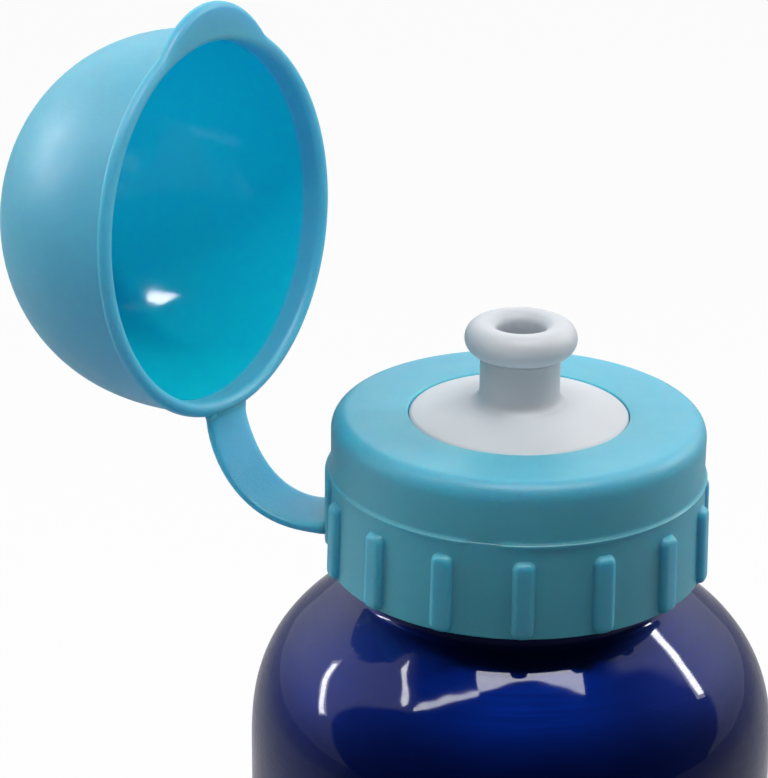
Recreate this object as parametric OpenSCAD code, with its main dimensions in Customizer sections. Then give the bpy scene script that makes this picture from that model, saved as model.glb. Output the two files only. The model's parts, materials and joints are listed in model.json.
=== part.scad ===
// Drinking bottle with a screw cap, a push-pull spout and a tethered dome cover.
// Origin: centre of the standing ring. +Z runs up the bottle's axis.
// The strap leaves the cap towards -X. The dome is drawn swung open.

/* [Bottle] */
// Diameter of the cylindrical body
body_d = 66; // [60:0.5:74]
// Height of the cap's top face above the standing ring
cap_top_z = 150; // [130:1:190]
// Height at which the shoulder starts to curve in
shoulder_z = 105; // [85:1:106]
// Height the shoulder curve would need to reach the axis
shoulder_h = 24.9; // [22:0.1:27]
// Fullness of the shoulder curve, 2 is an ellipse
shoulder_power = 2.75; // [2.3:0.05:3.2]
// Wall of the aluminium shell
shell_wall = 0.9; // [0.6:0.05:1.4]
// Room for the two threads between the neck and the cap's bore
thread_room = 1.3; // [1.1:0.05:1.9]
// Radius of the rolled bead round the mouth
mouth_bead_r = 1.1; // [0.9:0.05:1.2]
// Radius of the heel where the wall turns under
heel_r = 6; // [4:0.5:9]
// Width of the flat standing ring
stand_w = 2; // [1.5:0.25:3]
// Rise of the domed-in base at the axis
base_rise = 4; // [2:0.25:6]

/* [Screw cap] */
// Outside radius of the smooth upper wall
cap_r = 22.95; // [22.6:0.05:23.4]
// Depth from the top face to the skirt's lower edge
cap_h = 19.4; // [18:0.1:22]
// Wall of the skirt, down to the root of its thread
cap_wall = 2.15; // [1.9:0.05:2.3]
// Thickness of the top plate
cap_plate = 2.4; // [2.2:0.1:3]
// Rounding of the top edge
cap_edge_r = 2.18; // [1.6:0.02:2.6]
// How far the skirt stands out past the upper wall
skirt_step = 0.1; // [0.05:0.05:0.3]
// How far the skirt leans out from its top to its lower edge
skirt_flare = 0.3; // [0.1:0.05:0.5]
// Depth from the top face to the fine bead round the wall
bead_drop = 7.4; // [6:0.1:8]
// How far the fine bead stands out past the upper wall
bead_out = 0.3; // [0.2:0.05:0.4]
// Width of the gap in the fine bead
bead_gap_w = 4; // [2:0.5:8]
// Places round the skirt, one of them taken by the strap pad
grip_places = 15; // [12:1:18]
// Width of one grip rib
rib_w = 2.7; // [2:0.1:3.2]
// How far a rib stands out past the skirt
rib_out = 0.85; // [0.5:0.05:1.1]
// Length of one grip rib
rib_len = 9.8; // [8:0.1:10.4]
// Width of the pad that carries the strap
pad_w = 12; // [10:0.5:14]
// Height of the strap pad
pad_h = 9.8; // [8:0.1:10.4]
// How far the strap pad stands out past the skirt
pad_out = 0.65; // [0.5:0.05:1]

/* [Gasket] */
// Thickness of the sealing washer
gasket_t = 1.6; // [1:0.1:2.2]
// Width of the sealing washer
gasket_w = 5; // [4:0.1:5.6]

/* [Spout] */
// Radius of the flush flange of the spout base
flange_r = 13.45; // [12.5:0.05:14.2]
// Thickness of the flush flange
flange_t = 1.2; // [1:0.05:1.5]
// Outside radius of the snap-in boss under the flange
boss_r = 9.9; // [9:0.1:10.5]
// Length of the boss under the cap's top plate
boss_below = 2.3; // [1.8:0.1:3]
// Rise of the flange's shallow cone towards the sleeve
cone_rise = 1.3; // [0.8:0.1:1.8]
// Outside radius of the fixed sleeve
sleeve_r = 4.9; // [4.7:0.05:5.4]
// Height of the fixed sleeve above the cap's top face
sleeve_h = 7.4; // [7:0.1:8]
// Wall of the fixed sleeve
sleeve_wall = 0.6; // [0.5:0.05:0.8]
// Fillet where the sleeve rises from the cone
root_fillet = 1.7; // [1:0.1:2.4]
// Radius of the spout's mushroom head
head_r = 6.85; // [6.3:0.05:7.5]
// Height of the spout's top above the cap when pushed in
head_top = 11.7; // [11:0.1:13]
// Thickness of the mushroom head at its rim
head_t = 4.1; // [3.6:0.1:4.2]
// Radius of the drinking hole
hole_r = 3; // [2.6:0.05:3.3]
// Travel from pushed in to pulled out
spout_travel = 5; // [3.5:0.25:5]

/* [Dome cover] */
// How far the rolled lip stands out past the cap's wall
lip_reach = 1.2; // [1:0.05:1.6]
// Height of the lip's upright band, between its roundings
lip_band = 0.1; // [0.05:0.05:0.6]
// How far the lip stands out past the dome's wall
lip_out = 0.4; // [0.3:0.05:0.6]
// Height of the dome from its rim to its crown
dome_h = 27.9; // [25:0.1:32]
// Fullness of the dome curve, 2 is an ellipse
dome_power = 2.5; // [2.2:0.05:3]
// Wall of the dome
dome_wall = 1.4; // [1.1:0.05:1.6]
// Radius of the thumb tab's outline
tab_r = 12.75; // [11:0.25:15]
// How far the thumb tab stands out past the lip
tab_out = 3; // [2:0.1:4]
// Thickness of the thumb tab
tab_t = 1.5; // [1.2:0.1:2]
// Angle from closed to the drawn open place
dome_open = 95.96; // [80:0.1:110]

/* [Strap] */
// Width of the strap
strap_w = 6.6; // [6:0.1:8]
// Thickness of the strap
strap_t = 1.1; // [0.9:0.05:1.4]
// Reach of the strap's bend away from the cap
strap_reach = 10.2; // [8:0.1:12]
// Roll of the strap about its own run, at its middle
strap_roll = 19.5; // [0:0.5:30]
// Height of the strap's root above the pad's lower edge
strap_root_up = 1.9; // [1.2:0.1:3]
// Distance of the bending axis from the strap's root
hinge_reach = 5.4; // [4.5:0.1:6.5]
// Depth of the bending axis below the cap's top face
hinge_drop = 8.13; // [7.5:0.1:9]
// Turn of the bending axis seen from above
hinge_yaw = -14.55; // [-18:0.1:0]
// Slope of the bending axis
hinge_pitch = 9.4; // [0:0.1:12]

/* [Hidden] */
$fn = 96;
join = 0.4;           // depth to which parts of one moulding run into each other
running = 0.07;       // radial clearance of the sliding spout
seat_gap = 0.35;      // gap between the closed dome and the cap
drop_in = 0.1;        // radial gap of pieces that drop into a recess
loose = 0.4;          // radial gap of pieces that lie loose in a bore
curve_steps = 24;     // straight steps of one long curve
arc_steps = 8;        // straight steps of one corner arc

body_r = body_d / 2;
stand_r = body_r - heel_r;
skirt_r = cap_r + skirt_step;
cap_bore_r = skirt_r - cap_wall;
neck_r = cap_bore_r - thread_room;
cap_bottom_z = cap_top_z - cap_h;
bead_z = cap_top_z - bead_drop;
plate_z = cap_top_z - cap_plate;
mouth_z = plate_z - gasket_t;

// Points of an arc about c, from angle a to angle b.
function arc(c, r, a, b, n) = [for (i = [0:n]) let (t = a + (b - a) * i / n) c + r * [cos(t), sin(t)]];

// A path moved sideways by d, to the left of its direction.
function inset(path, d) = [for (i = [0:len(path) - 1])
    let (before = path[max(i - 1, 0)], after = path[min(i + 1, len(path) - 1)],
         along = (after - before) / norm(after - before))
    path[i] + d * [-along[1], along[0]]];

function reversed(path) = [for (i = [len(path) - 1:-1:0]) path[i]];

// Radius of a superellipse of revolution at the share t of its height.
function full_curve(r, t, power) = r * sqrt(max(1 - pow(t, power), 0));

// v turned by angle a about the unit vector k.
function turned(v, k, a) = v * cos(a) + cross(k, v) * sin(a) + k * (k * v) * (1 - cos(a));

// ---- Bottle ----
neck_t = pow(1 - pow(neck_r / body_r, 2), 1 / shoulder_power);
dish_r = (pow(stand_r - stand_w, 2) + pow(base_rise, 2)) / (2 * base_rise);
dish_deg = asin((stand_r - stand_w) / dish_r);
shell_outside = concat(
    arc([0, base_rise - dish_r], dish_r, 90, 90 - dish_deg, arc_steps),
    arc([stand_r, heel_r], heel_r, -90, 0, arc_steps),
    [for (i = [0:curve_steps]) let (t = neck_t * i / curve_steps)
        [full_curve(body_r, t, shoulder_power), shoulder_z + shoulder_h * t]],
    [[neck_r, shoulder_z + shoulder_h * neck_t + shell_wall], [neck_r, mouth_z - mouth_bead_r]]);
shell_inside = inset(shell_outside, shell_wall);
crown_r = shell_outside[0][1] + shell_wall;
mouth_mid_r = neck_r - shell_wall / 2;

module bottle_shell() {
    color("navy") {
        rotate_extrude() polygon(concat(
            shell_outside,
            reversed([for (i = [1:len(shell_inside) - 1]) shell_inside[i]]),
            [[0, crown_r]]));
        translate([0, 0, mouth_z - mouth_bead_r])
            rotate_extrude() translate([mouth_mid_r, 0]) circle(r = mouth_bead_r, $fn = 32);
    }
}

// ---- Gasket ----
gasket_out_r = cap_bore_r - loose;

module cap_gasket() {
    color("whitesmoke") translate([0, 0, mouth_z]) difference() {
        cylinder(r = gasket_out_r, h = gasket_t);
        translate([0, 0, -join]) cylinder(r = gasket_out_r - gasket_w, h = gasket_t + 2 * join);
    }
}

// ---- Screw cap ----
land_w = 1;
land_h = 1.1;
land_r = gasket_out_r - gasket_w - drop_in;
bead_h = 0.55;
bead_gap_at = -96;
lead_in = 0.2;
rib_up = 0.2;
rib_side_soft = 0.75;
rib_end_soft = 0.9;
rib_top_soft = 1.05;
skirt_low_r = skirt_r + skirt_flare;
skirt_lean = atan(skirt_flare / (bead_z - cap_bottom_z));
pad_r = skirt_r + pad_out;
pad_low = bead_z - pad_h;
pad_corner = 2;
root_out = 0.25;
root_x = pad_r + root_out;
root_flare = 1.1;
root_z = pad_low + strap_root_up;

module cap_body() {
    rotate_extrude() polygon(concat(
        [[cap_bore_r + lead_in, cap_bottom_z], [skirt_low_r - lead_in, cap_bottom_z],
         [skirt_low_r, cap_bottom_z + lead_in], [skirt_r, bead_z - skirt_step], [cap_r, bead_z]],
        arc([cap_r - cap_edge_r, cap_top_z - cap_edge_r], cap_edge_r, 0, 90, arc_steps),
        [[flange_r + drop_in, cap_top_z], [flange_r + drop_in, cap_top_z - flange_t],
         [boss_r + drop_in, cap_top_z - flange_t], [boss_r + drop_in, plate_z],
         [land_r - land_w, plate_z], [land_r - land_w, plate_z - land_h],
         [land_r, plate_z - land_h], [land_r, plate_z],
         [cap_bore_r, plate_z], [cap_bore_r, cap_bottom_z + lead_in]]));
}

// Fine bead round the wall, left open over a short way.
module wall_bead() {
    translate([0, 0, bead_z]) difference() {
        rotate_extrude() polygon([
            [cap_r - join, -bead_h], [cap_r + bead_out * 0.7, -bead_h], [cap_r + bead_out, -bead_h * 0.7],
            [cap_r + bead_out, -bead_h * 0.4], [cap_r - join, bead_h]]);
        rotate([0, 0, bead_gap_at]) translate([cap_r - 2 * join, -bead_gap_w / 2, -2 * bead_h])
            cube([bead_out + 4 * join, bead_gap_w, 4 * bead_h]);
    }
}

// A flat bar with four rounded corners, drawn about its middle.
module soft_bar(w, h, r) {
    square([w, h - 2 * r], center = true);
    square([w - 2 * r, h], center = true);
    for (x = [-1, 1], y = [-1, 1]) translate([x * (w / 2 - r), y * (h / 2 - r)]) circle(r = r, $fn = 32);
}

// A block whose upright edges, ends and front corners are each rounded.
module soft_block(deep, w, h, side_soft, end_soft, front_soft) {
    intersection() {
        linear_extrude(2 * h, center = true) soft_bar(deep, w, side_soft);
        rotate([90, 0, 0]) linear_extrude(2 * w, center = true) soft_bar(deep, h, end_soft);
        rotate([90, 0, 90]) linear_extrude(2 * deep, center = true) soft_bar(w, h, front_soft);
    }
}

// Upright rib with soft edges and a soft top, leaning out with the skirt.
module grip_rib() {
    deep = 2 * (rib_out + join);
    translate([skirt_r + skirt_flare / 2 - join, 0, cap_bottom_z + rib_up + rib_len / 2])
        rotate([0, -skirt_lean, 0])
            soft_block(deep, rib_w, rib_len, rib_side_soft, rib_end_soft, rib_top_soft);
}

// Pad with rounded corners that follows the wall, and the flat root of the strap on it.
module strap_pad() {
    root_half = strap_w / 2 + root_flare;
    intersection() {
        translate([0, 0, pad_low - join]) cylinder(r = pad_r, h = pad_h + 2 * join);
        translate([-pad_r - join, 0, pad_low + pad_h / 2]) rotate([90, 0, 90])
            linear_extrude(pad_r - cap_bore_r) soft_bar(pad_w, pad_h, pad_corner);
    }
    translate([-root_x, -root_half, root_z - strap_t / 2])
        cube([root_out + pad_out + join, 2 * root_half, strap_t]);
}

module screw_cap() {
    color("mediumturquoise") {
        cap_body();
        wall_bead();
        strap_pad();
        for (i = [1:grip_places - 1]) rotate([0, 0, 180 + 360 * i / grip_places]) grip_rib();
    }
}

// ---- Spout ----
edge_soft = 0.3;
sleeve_soft = 0.35;
sleeve_bore_r = sleeve_r - sleeve_wall;
sleeve_lip_h = 0.9;
tube_r = 3.83;
stop_h = 1;
stop_gap = 0.2;
tube_low = sleeve_h - sleeve_lip_h - stop_gap - spout_travel - stop_h;
post_r = 1.5;
tip_r = hole_r - running;
tip_h = 1.2;
spoke_w = 1;
spokes = 3;
spoke_gap = 0.3;
boss_wall = 1.4;
snap_out = 0.6;
snap_h = 1.4;
cone_edge_r = flange_r - edge_soft;
cone_slope = atan(cone_rise / (cone_edge_r - sleeve_r - root_fillet));
cone_in_r = sleeve_r + root_fillet * (1 - sin(cone_slope));
fillet_z = (cone_edge_r - cone_in_r) * tan(cone_slope) + root_fillet * cos(cone_slope);

// Snap-in flange, the sleeve that rises from it and the post that plugs the tube.
module spout_base() {
    boss_low = -cap_plate - boss_below;
    spoke_low = -flange_t - join;
    spoke_top = tube_low - spoke_gap;
    color("white") translate([0, 0, cap_top_z]) {
        rotate_extrude() polygon(concat(
            [[sleeve_bore_r, spoke_low], [sleeve_bore_r + boss_wall, spoke_low],
             [boss_r - boss_wall, -cap_plate], [boss_r - boss_wall, boss_low], [boss_r, boss_low],
             [boss_r + snap_out, -cap_plate - snap_h / 2], [boss_r + snap_out / 2, -cap_plate],
             [boss_r, -cap_plate], [boss_r, -flange_t], [flange_r, -flange_t], [flange_r, -edge_soft],
             [cone_edge_r, 0]],
            arc([sleeve_r + root_fillet, fillet_z], root_fillet, 270 - cone_slope, 180, arc_steps),
            arc([sleeve_r - sleeve_soft, sleeve_h - sleeve_soft], sleeve_soft, 0, 90, arc_steps),
            [[tube_r + running, sleeve_h], [tube_r + running, sleeve_h - sleeve_lip_h],
             [sleeve_bore_r, sleeve_h - sleeve_lip_h]]));
        translate([0, 0, spoke_low]) cylinder(r = post_r, h = spoke_top - spoke_low + edge_soft, $fn = 32);
        translate([0, 0, spoke_top]) rotate_extrude() polygon([
            [0, 0], [post_r, 0], [tip_r, spoke_gap], [tip_r, spoke_gap + tip_h - edge_soft],
            [tip_r - edge_soft, spoke_gap + tip_h], [0, spoke_gap + tip_h]]);
        for (i = [0:spokes - 1]) rotate([0, 0, 360 * i / spokes]) translate([0, -spoke_w / 2, spoke_low])
            cube([sleeve_bore_r + edge_soft, spoke_w, spoke_top - spoke_low]);
    }
}

head_round = head_t / 2;
collar_gap = 0.12;
collar_in = 0.25;
throat_r = 0.35;
throat_turn = 60;

// Tube with its stop bead, and the mushroom head on it.
module push_spout() {
    stop_r = sleeve_bore_r - running;
    collar_r = sleeve_r - collar_in;
    collar_low = sleeve_h + collar_gap;
    color("white") translate([0, 0, cap_top_z]) rotate_extrude() polygon(concat(
        [[hole_r, tube_low], [tube_r, tube_low], [stop_r, tube_low + edge_soft],
         [stop_r, tube_low + stop_h], [tube_r, tube_low + stop_h], [tube_r, collar_low],
         [collar_r, collar_low]],
        arc([collar_r + throat_r, collar_low + collar_gap], throat_r, 180, 180 - throat_turn, arc_steps),
        arc([head_r - head_round, head_top - head_round], head_round, -throat_turn, 90, arc_steps * 2),
        [[hole_r + edge_soft * 2, head_top], [hole_r, head_top - edge_soft * 2]]));
}

// ---- Dome cover ----
lip_r = cap_r + lip_reach;
wall_r = lip_r - lip_out;
dome_in_r = wall_r - dome_wall;
rim_round = (lip_r - dome_in_r) / 2;
lip_h = rim_round + lip_band + lip_out;
curve_h = dome_h - lip_h;
rim_over = sqrt(pow(cap_edge_r + rim_round + seat_gap, 2) - pow(lip_r - rim_round - cap_r + cap_edge_r, 2));
rim_z = cap_top_z - cap_edge_r + rim_over - rim_round;
tab_low = 0.1;
lug_out = 0.25;
lug_r = lip_r + lug_out;
lug_flare = 0.3;
lug_up = 0.1;
dome_outside = [for (i = [1:curve_steps]) let (t = sin(90 * i / curve_steps))
    [full_curve(wall_r, t, dome_power), lip_h + curve_h * t]];
dome_inside = [for (i = [0:curve_steps]) let (t = sin(90 * i / curve_steps))
    [full_curve(dome_in_r, t, dome_power), lip_h + (curve_h - dome_wall) * t]];

hinge_at = [-root_x - hinge_reach, 0, cap_top_z - hinge_drop];
hinge_k = [-sin(hinge_yaw) * cos(hinge_pitch), cos(hinge_yaw) * cos(hinge_pitch), sin(hinge_pitch)];

// A place or a direction of the closed dome, carried to the open dome.
function opened_way(v) = turned(v, hinge_k, -dome_open);
function opened(p) = hinge_at + opened_way(p - hinge_at);

module opened_dome() {
    translate(hinge_at) rotate(a = -dome_open, v = hinge_k) translate(-hinge_at) children();
}

// The dome as it stands when closed, with its rim on the plane z = 0.
module closed_dome() {
    mid_r = wall_r - dome_wall / 2;
    rotate_extrude() polygon(concat(
        arc([lip_r - rim_round, rim_round], rim_round, 180, 360, arc_steps * 2),
        arc([wall_r, lip_h - lip_out], lip_out, 0, 90, arc_steps),
        dome_outside, reversed(dome_inside)));
    difference() {
        translate([lip_r + tab_out - tab_r, 0, tab_low]) cylinder(r = tab_r, h = tab_t);
        translate([0, 0, tab_low - join]) cylinder(r = mid_r, h = tab_t + 2 * join);
    }
    translate([-lug_r, -strap_w / 2 - lug_flare, lug_up - strap_t / 2])
        cube([lug_r - mid_r, strap_w + 2 * lug_flare, strap_t]);
}

module dome_cover() {
    color("mediumturquoise") opened_dome() translate([0, 0, rim_z]) closed_dome();
}

// ---- Strap ----
strap_rings = 28;
strap_sides = 12;
strap_square = 0.25;
flare_share = 0.12;
strap_pull = 0.6;
strap_from = [-root_x, 0, root_z];
strap_to = opened([-lug_r, 0, rim_z + lug_up]);
strap_pts = [strap_from, strap_from - [strap_reach, 0, 0],
    strap_to - strap_pull * opened_way([1, 0, 0]), strap_to];

function bezier(p, t) = pow(1 - t, 3) * p[0] + 3 * pow(1 - t, 2) * t * p[1]
    + 3 * (1 - t) * t * t * p[2] + pow(t, 3) * p[3];
function bezier_way(p, t) = let (d = pow(1 - t, 2) * (p[1] - p[0]) + 2 * (1 - t) * t * (p[2] - p[1])
    + t * t * (p[3] - p[2])) d / norm(d);
function squared(x) = sign(x) * pow(abs(x), strap_square);

// Extra half width at the share t of the strap, dying away from both ends.
function strap_flare(t) = root_flare * exp(-t / flare_share) + lug_flare * exp(-(1 - t) / flare_share);

// One ring of the strap: a flat oval box square to the strap's run, rolled about it.
function strap_ring(t) = let (
    way = bezier_way(strap_pts, t),
    across = (1 - t) * [0, 1, 0] + t * opened_way([0, 1, 0]),
    level = (across - way * (across * way)) / norm(across - way * (across * way)),
    side = turned(level, way, -4 * strap_roll * t * (1 - t)),
    up = cross(way, side),
    half = strap_w / 2 + strap_flare(t))
    [for (i = [0:strap_sides - 1]) let (a = 360 * (i + 0.5) / strap_sides)
        bezier(strap_pts, t) + side * half * squared(cos(a)) + up * strap_t / 2 * squared(sin(a))];

module dome_strap() {
    n = strap_sides;
    color("mediumturquoise") polyhedron(
        points = [for (k = [0:strap_rings]) each strap_ring(k / strap_rings)],
        faces = concat(
            [[for (i = [0:n - 1]) i]],
            [for (k = [0:strap_rings - 1], i = [0:n - 1])
                [k * n + i, (k + 1) * n + i, (k + 1) * n + (i + 1) % n, k * n + (i + 1) % n]],
            [[for (i = [n - 1:-1:0]) strap_rings * n + i]]));
}

bottle_shell();
cap_gasket();
screw_cap();
spout_base();
push_spout();
dome_strap();
dome_cover();
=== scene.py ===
"""Drinking bottle with a ribbed screw cap, a push-pull spout and a dome cover on a strap."""
import json
import math

import bmesh
import bpy
import numpy as np
from mathutils import Matrix, Vector


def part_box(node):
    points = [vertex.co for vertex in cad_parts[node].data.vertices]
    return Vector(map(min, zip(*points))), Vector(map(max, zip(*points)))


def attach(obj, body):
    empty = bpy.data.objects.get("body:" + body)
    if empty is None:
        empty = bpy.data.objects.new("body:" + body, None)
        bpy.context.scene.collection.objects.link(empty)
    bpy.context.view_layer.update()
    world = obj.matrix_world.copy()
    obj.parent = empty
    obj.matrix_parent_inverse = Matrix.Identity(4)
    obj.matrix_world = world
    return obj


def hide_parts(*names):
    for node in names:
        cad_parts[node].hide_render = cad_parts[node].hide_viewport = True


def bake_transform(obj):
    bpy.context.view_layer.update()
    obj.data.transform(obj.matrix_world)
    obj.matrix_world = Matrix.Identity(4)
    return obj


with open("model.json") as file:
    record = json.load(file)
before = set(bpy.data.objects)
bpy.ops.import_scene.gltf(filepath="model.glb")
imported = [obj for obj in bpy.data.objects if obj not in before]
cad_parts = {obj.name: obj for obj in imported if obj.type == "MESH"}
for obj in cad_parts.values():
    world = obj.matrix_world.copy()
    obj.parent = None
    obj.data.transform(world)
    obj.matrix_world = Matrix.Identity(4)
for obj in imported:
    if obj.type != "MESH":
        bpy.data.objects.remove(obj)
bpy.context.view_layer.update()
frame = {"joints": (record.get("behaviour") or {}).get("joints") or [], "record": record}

bl_info = {
    "name": "Spout bottle builder",
    "version": (1, 0, 0),
    "blender": (4, 5, 0),
    "location": "3D View > Sidebar > Spout bottle",
    "description": "Builds a lacquered drinking bottle with a spout cap and a tethered dome cover",
    "category": "Add Mesh",
}

TAU = 2 * np.pi
MM = 0.001
HINGE = next(joint for joint in frame["joints"] if joint["name"] == "dome_hinge")
PITCH = frame["record"]["behaviour"]["couplings"][0]["ratio"] * TAU


# ---- sizes

def length(name, description, millimetres):
    """A length property whose default is given in millimetres."""
    return bpy.props.FloatProperty(name=name, description=description, precision=5,
                                   default=millimetres * MM, unit="LENGTH")


def share(name, description, default):
    """A plain number property."""
    return bpy.props.FloatProperty(name=name, description=description, default=default,
                                   precision=4)


def angle(name, description, degrees):
    """An angle property whose default is given in degrees."""
    return bpy.props.FloatProperty(name=name, description=description, precision=4,
                                   default=math.radians(degrees), subtype="ANGLE")


def colour(name, description, default):
    """A colour property, in linear light."""
    return bpy.props.FloatVectorProperty(name=name, description=description, default=default,
                                         subtype="COLOR", size=3, min=0, max=1)


class BottleSizes(bpy.types.PropertyGroup):
    """Sizes of the metal shell and its neck."""
    shoulder_start: length("Shoulder start", "Height at which the shoulder curves in", 105)
    shoulder_rise: length("Shoulder rise", "Height the shoulder curve needs to reach the axis", 24.9)
    shoulder_power: share("Shoulder fullness", "Power of the shoulder curve", 2.75)
    shoulder_r: length("Cone radius", "Radius inside which the shoulder runs on as a cone", 27)
    shoulder_end: angle("Cone slope", "Slope at which the shoulder reaches the neck", 35)
    neck_r: length("Neck radius", "Outside radius of the neck under its thread", 19.6)
    wall: length("Wall", "Thickness of the shell", 0.9)
    bead_r: length("Mouth bead", "Radius of the rolled bead round the mouth", 1.1)
    heel_r: length("Heel", "Radius of the heel", 6)
    stand_w: length("Standing ring", "Width of the standing ring", 2)
    base_rise: length("Base rise", "Rise of the domed-in base", 4)
    ripple_size: length("Ripple size", "Shortest wave of the lacquer's unevenness", 2.2)
    ripple_height: length("Ripple height", "Height of the lacquer's unevenness", 0.024)
    thread_out: length("Thread height", "How far the neck's thread stands out", 0.85)
    thread_turns: share("Thread turns", "Turns of the neck's thread", 1.6)
    thread_drop: length("Thread drop", "Depth of the thread's upper end under the mouth", 3.4)
    thread_w: length("Thread width", "Width of the thread's foot", 2.1)
    thread_start: share("Thread start", "Direction of the thread's lower end, in radians", 0.6)


class CapSizes(bpy.types.PropertyGroup):
    """Sizes of the screw cap."""
    wall_r: length("Wall radius", "Radius of the smooth upper wall", 22.95)
    skirt_r: length("Skirt radius", "Radius of the skirt just under the fine bead", 23.05)
    flare: length("Skirt flare", "How far the skirt leans out down to its lower edge", 0.3)
    bore_r: length("Bore", "Inside radius of the skirt", 20.9)
    edge_r: length("Edge", "Rounding of the top edge", 2.18)
    plate: length("Top plate", "Thickness of the top plate", 2.4)
    bead_drop: length("Bead drop", "Depth of the fine bead under the top", 7.4)
    bead_out: length("Bead height", "How far the fine bead stands out", 0.26)
    bead_gap: length("Bead gap", "Width of the gap in the fine bead", 4)
    gap_angle: angle("Bead gap angle", "Direction of the gap in the fine bead", -96)
    rib_w: length("Rib width", "Width of one grip rib", 2.7)
    rib_out: length("Rib height", "How far a rib stands out", 0.85)
    rib_len: length("Rib length", "Length of one grip rib", 9.8)
    rib_up: length("Rib start", "Height of a rib's lower end over the skirt's edge", 0.2)
    rib_soft: length("Rib softness", "Rounding of a rib's edges", 0.75)
    rib_corner: length("Rib corner", "Rounding of a rib's outline", 1.05)
    rib_foot: length("Rib foot", "Height of the soft foot round a rib", 0.06)
    groove_in: length("Groove inside", "Inside radius of the ring groove over the washer", 14.3)
    groove_out: length("Groove outside", "Outside radius of the ring groove", 15.3)
    groove_t: length("Groove depth", "Depth of the ring groove", 1.1)
    thread_in: length("Thread height", "How far the cap's thread stands in", 0.8)
    thread_w: length("Thread width", "Width of the foot of the cap's thread", 1.7)
    chamfer: length("Skirt chamfer", "Chamfer at the skirt's lower edges", 0.2)
    washer_w: length("Washer width", "Width of the sealing washer's ring", 5)
    pad_w: length("Pad width", "Width of the strap pad", 12)
    pad_h: length("Pad height", "Height of the strap pad", 9.8)
    pad_out: length("Pad reach", "How far the pad stands out past the skirt", 0.65)
    root_out: length("Root reach", "How far the strap's root stands out past the pad", 0.25)
    places: bpy.props.IntProperty(name="Grip places", default=15,
                                  description="Places round the skirt, one taken by the strap pad")


class SpoutSizes(bpy.types.PropertyGroup):
    """Sizes of the spout base and the push-pull spout."""
    flange_r: length("Flange", "Radius of the flush flange", 13.45)
    flange_t: length("Flange thickness", "Thickness of the flush flange", 1.2)
    flange_gap: length("Flange gap", "Gap between the flange and the cap", 0.1)
    cone_rise: length("Cone rise", "Rise of the flange's shallow cone", 1.3)
    boss_r: length("Boss", "Radius of the boss under the flange", 9.9)
    boss_wall: length("Boss wall", "Wall of the boss", 1.4)
    sleeve_r: length("Sleeve", "Outside radius of the fixed sleeve", 4.9)
    sleeve_h: length("Sleeve height", "Height of the fixed sleeve over the cap", 7.4)
    sleeve_wall: length("Sleeve wall", "Wall of the fixed sleeve", 0.6)
    crest_r: length("Sleeve edge rounding", "Rounding of the sleeve's upper edge", 0.35)
    guide_h: length("Guide height", "Height of the guide ring in the sleeve's end", 0.9)
    post_r: length("Post radius", "Radius of the plug's post", 1.5)
    plug_h: length("Plug height", "Height of the plug", 1.2)
    spoke_t: length("Spoke thickness", "Thickness of a spoke", 1)
    root_fillet: length("Root fillet", "Fillet where the sleeve rises from the cone", 1.7)
    tube_r: length("Tube", "Outside radius of the sliding tube", 3.83)
    head_r: length("Head", "Radius of the mushroom head", 6.85)
    head_t: length("Head thickness", "Thickness of the head at its rim", 4.1)
    hole_r: length("Hole", "Radius of the drinking hole", 3)
    running: length("Running gap", "Radial gap of the sliding tube", 0.07)
    collar_gap: length("Collar gap", "Gap between the head's collar and the sleeve", 0.12)


class DomeSizes(bpy.types.PropertyGroup):
    """Sizes of the dome cover, its tab and its strap."""
    lip_reach: length("Lip reach", "How far the lip stands out past the cap's wall", 1.2)
    lip_band: length("Lip band", "Height of the lip's upright band", 0.1)
    lip_out: length("Lip height", "How far the lip stands out past the dome's wall", 0.4)
    height: length("Height", "Height of the dome", 27.9)
    power: share("Fullness", "Power of the dome's curve", 2.5)
    wall: length("Wall", "Thickness of the dome", 1.4)
    seat_gap: length("Seat gap", "Gap between the closed rim and the cap's edge", 0.35)
    tab_r: length("Tab outline", "Radius of the thumb tab's outline", 12.75)
    tab_out: length("Tab reach", "How far the tab stands out past the lip", 3)
    tab_t: length("Tab thickness", "Thickness of the thumb tab", 1.6)
    tab_fade: length("Tab fade", "Height over which the tab runs out into the wall", 1.2)
    strap_w: length("Strap width", "Width of the strap", 6.6)
    strap_t: length("Strap thickness", "Thickness of the strap", 1.1)
    strap_in: length("Strap run-in", "How far the strap runs into the pad and the lip", 0.9)
    strap_reach: length("Strap reach", "Reach of the strap's bend", 10.2)
    strap_roll: angle("Strap roll", "Roll of the strap about its run, at its middle", 19.5)
    strap_up: length("Strap root", "Height of the strap's root over the pad's lower edge", 1.9)
    strap_pull: length("Strap end", "Straight pull at the strap's dome end", 2)
    root_flare: length("Root flare", "Extra half width at the strap's root", 1.1)
    end_flare: length("End flare", "Extra half width at the strap's dome end", 0.3)
    fillet: length("Strap fillet", "Fillet at each side where the strap meets the lip", 0.35)
    end_up: length("Strap end height", "Height of the strap's end over the rim", 0.75)


class Finishes(bpy.types.PropertyGroup):
    """Colours of the finishes, in linear light."""
    turquoise: colour("Turquoise plastic", "Closure, strap and dome", (0.095, 0.45, 0.6))
    white: colour("White plastic", "Spout and spout base", (0.62, 0.65, 0.69))
    lacquer: colour("Blue lacquer", "Lacquered metal", (0.0005, 0.009, 0.105))
    bare_metal: colour("Bare metal", "Inside of the bottle and its mouth", (0.72, 0.72, 0.73))
    silicone: colour("Silicone", "Sealing washer", (0.75, 0.77, 0.77))
    floor: colour("Floor", "Plain pale floor", (0.78, 0.78, 0.79))


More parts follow.
